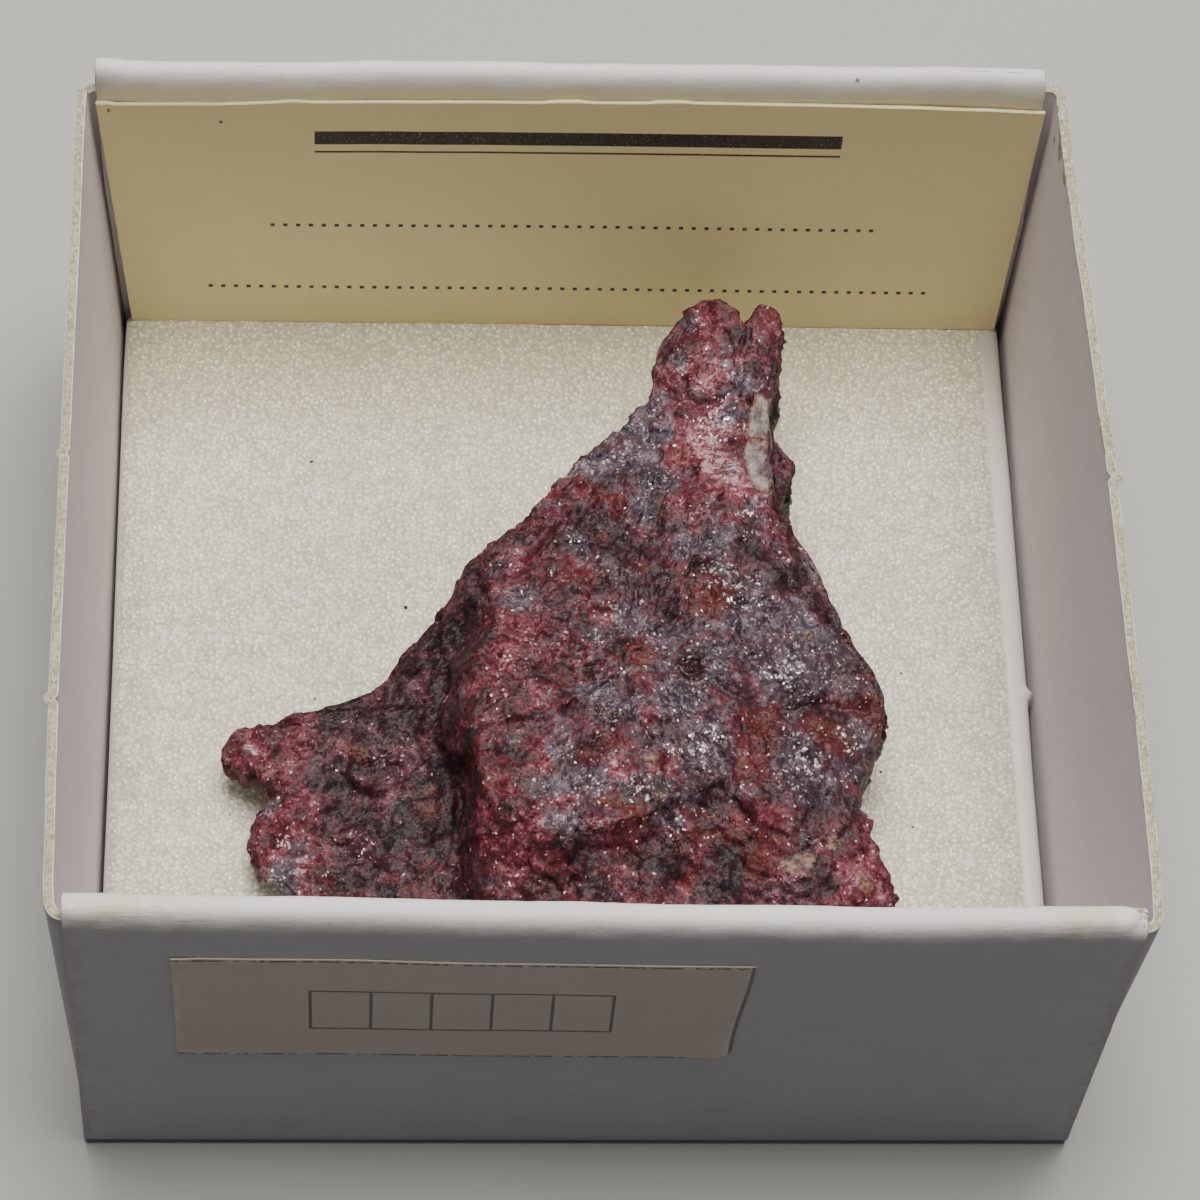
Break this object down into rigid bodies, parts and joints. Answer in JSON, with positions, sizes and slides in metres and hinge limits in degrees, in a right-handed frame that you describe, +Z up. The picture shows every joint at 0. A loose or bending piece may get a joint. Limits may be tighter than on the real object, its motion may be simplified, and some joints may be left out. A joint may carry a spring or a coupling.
{
  "type": "cinnabar on matrix in a collector's card tray",
  "caption": "Thin broken slab of cinnabar ore on matrix, lying on a foam pad in an open folded card specimen tray with a standing label card and a number sticker.",
  "frame": {"origin": "middle of the tray's underside, on the surface it stands on", "axes": "+Z up; +X to the right along the front wall that carries the sticker; +Y from that wall to the wall the label leans on"},
  "size_m": [0.0417, 0.0405, 0.0198],
  "materials": {
    "board": "matte",
    "foam": "satin",
    "ore": "satin",
    "label": "matte",
    "sticker": "satin"
  },
  "bodies": {
    "root": {"card_tray": "board", "foam_pad": "foam", "cinnabar_specimen": "ore", "label_card": "label", "number_sticker": "sticker"}
  },
  "joints": []
}
